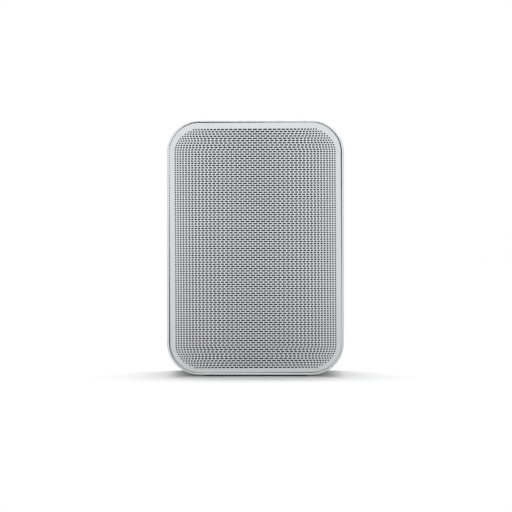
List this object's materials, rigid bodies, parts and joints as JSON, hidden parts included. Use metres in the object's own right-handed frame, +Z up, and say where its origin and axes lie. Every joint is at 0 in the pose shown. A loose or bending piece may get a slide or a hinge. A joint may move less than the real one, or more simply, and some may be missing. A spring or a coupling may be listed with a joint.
{
  "type": "wireless streaming speaker",
  "caption": "Upright rounded-box wireless speaker with a slotted metal grille over a woofer and dome tweeter, top keys and rear sockets.",
  "frame": {"origin": "on the table under the middle of the body", "axes": "+Z up, the grille faces -Y, +X to the right as seen from the front"},
  "size_m": [0.125, 0.07, 0.1814],
  "materials": {
    "shell_white": "fine moulded satin",
    "grille_paint": "satin powder coat",
    "black_cloth": "woven acoustic cloth",
    "black_plastic": "moulded",
    "pad_rubber": "matt",
    "seal_foam": "closed-cell foam",
    "basket_enamel": "black enamel",
    "motor_steel": "zinc plated",
    "ferrite": "ground ferrite",
    "cone_paper": "pressed pulp",
    "roll_rubber": "soft satin",
    "spider_cloth": "resin-dipped cloth",
    "former_film": "amber film",
    "coil_copper": "enamelled wire",
    "dome_silk": "coated silk",
    "board_laminate": "solder mask",
    "heatsink_metal": "extruded",
    "winding_tape": "taped winding",
    "capacitor_sleeve": "shrunk sleeve",
    "shield_steel": "tinned",
    "contact_metal": "plated",
    "insert_brass": "turned",
    "key_white": "satin",
    "key_panel_grey": "satin",
    "light_clear": "clear",
    "lamp_white": "moulded",
    "screw_steel": "blackened"
  },
  "bodies": {
    "housing": {"cabinet": "shell_white", "base_pad": "pad_rubber", "front_baffle": "black_plastic", "baffle_gasket": "seal_foam", "baffle_screws": "screw_steel", "front_grille": "grille_paint", "grille_cloth": "black_cloth", "grille_frame": "black_plastic", "woofer_basket": "basket_enamel", "woofer_gasket": "seal_foam", "woofer_screws": "screw_steel", "woofer_surround": "roll_rubber", "woofer_spider": "spider_cloth", "woofer_front_plate": "motor_steel", "woofer_magnet": "ferrite", "woofer_yoke": "motor_steel", "tweeter_faceplate": "black_plastic", "tweeter_surround": "dome_silk", "tweeter_pole_plate": "motor_steel", "tweeter_magnet": "motor_steel", "tweeter_cup": "motor_steel", "tweeter_screws": "screw_steel", "main_board": "board_laminate", "main_board_screws": "screw_steel", "power_board": "board_laminate", "power_board_screws": "screw_steel", "radio_module": "shield_steel", "power_transformer": "winding_tape", "reservoir_capacitor": "capacitor_sleeve", "amplifier_heatsink": "heatsink_metal", "mains_inlet": "black_plastic", "mains_pins": "contact_metal", "line_in_socket": "black_plastic", "headphone_socket": "black_plastic", "usb_shell": "shield_steel", "usb_tongue": "black_plastic", "ethernet_socket": "black_plastic", "rear_panel": "black_plastic", "rear_panel_screws": "screw_steel", "mount_insert": "insert_brass", "key_panel": "key_panel_grey", "key_switches": "shield_steel", "key_board": "board_laminate", "key_board_screws": "screw_steel", "status_led": "lamp_white", "status_light_pipe": "light_clear"},
    "woofer_moving": {"woofer_cone": "cone_paper", "woofer_dust_cap": "cone_paper", "woofer_coil_former": "former_film", "woofer_coil_winding": "coil_copper"},
    "tweeter_moving": {"tweeter_dome": "dome_silk", "tweeter_coil_former": "former_film", "tweeter_coil_winding": "coil_copper"},
    "volume_down_key": {"volume_down_button": "key_white", "volume_down_stem": "black_plastic"},
    "play_key": {"play_button": "key_white", "play_stem": "black_plastic"},
    "volume_up_key": {"volume_up_button": "key_white", "volume_up_stem": "black_plastic"}
  },
  "joints": [
    {"name": "woofer_stroke", "type": "slide", "parent": "housing", "child": "woofer_moving", "axis": [0, -1, 0], "range_m": [-0.003, 0.003], "stiffness_N_per_m": 1500, "deforming": ["woofer_surround", "woofer_spider"]},
    {"name": "tweeter_stroke", "type": "slide", "parent": "housing", "child": "tweeter_moving", "axis": [0, -1, 0], "range_m": [-0.0003, 0.0003], "stiffness_N_per_m": 2000, "deforming": ["tweeter_surround"]},
    {"name": "volume_down_press", "type": "slide", "parent": "housing", "child": "volume_down_key", "axis": [0, 0, -1], "range_m": [0, 0.0005], "stiffness_N_per_m": 1600, "springref_m": -0.0005},
    {"name": "play_press", "type": "slide", "parent": "housing", "child": "play_key", "axis": [0, 0, -1], "range_m": [0, 0.0005], "stiffness_N_per_m": 1600, "springref_m": -0.0005},
    {"name": "volume_up_press", "type": "slide", "parent": "housing", "child": "volume_up_key", "axis": [0, 0, -1], "range_m": [0, 0.0005], "stiffness_N_per_m": 1600, "springref_m": -0.0005}
  ]
}
